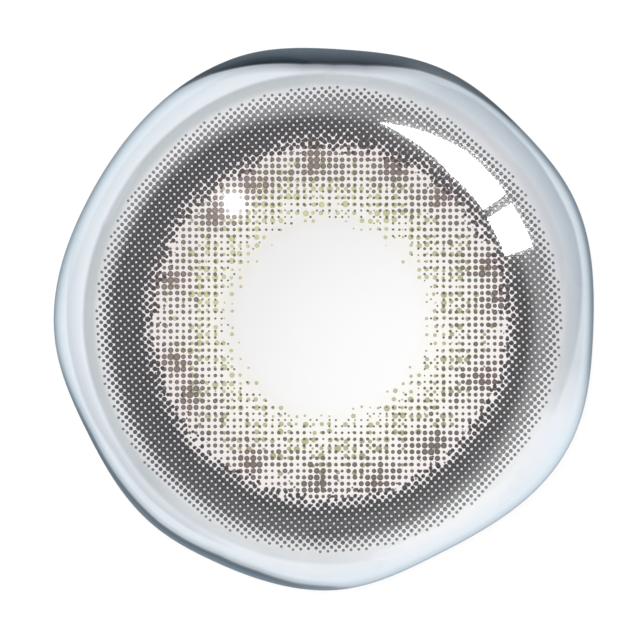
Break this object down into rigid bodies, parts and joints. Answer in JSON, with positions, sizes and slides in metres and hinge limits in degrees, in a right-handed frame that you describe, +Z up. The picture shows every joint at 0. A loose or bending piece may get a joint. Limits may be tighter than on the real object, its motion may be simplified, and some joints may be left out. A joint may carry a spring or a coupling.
{
  "type": "contact lens",
  "caption": "Thin clear domed shell that sits on the eye, printed with a dark outer ring, a brown iris ring and a yellow-green inner fringe round a clear pupil.",
  "frame": {"origin": "where the lens axis meets the table plane that the rim lies on, at the middle of the base", "axes": "+Z up along the lens axis through the front of the dome, +X to the right of the picture, +Y to the top of the picture"},
  "size_m": [0.0141, 0.0142, 0.0034],
  "materials": {
    "hydrogel": "wet clear hydrogel with a faint blue handling tint",
    "slate_ink": "dark slate pigment in small dots",
    "brown_ink": "grey-brown pigment in small dots",
    "yellow_green_ink": "pale yellow-green pigment in small dots"
  },
  "bodies": {
    "root": {"lens_body": "hydrogel", "tint_limbal_ring": "slate_ink", "tint_iris_ring": "brown_ink", "tint_inner_ring": "yellow_green_ink"}
  },
  "joints": []
}
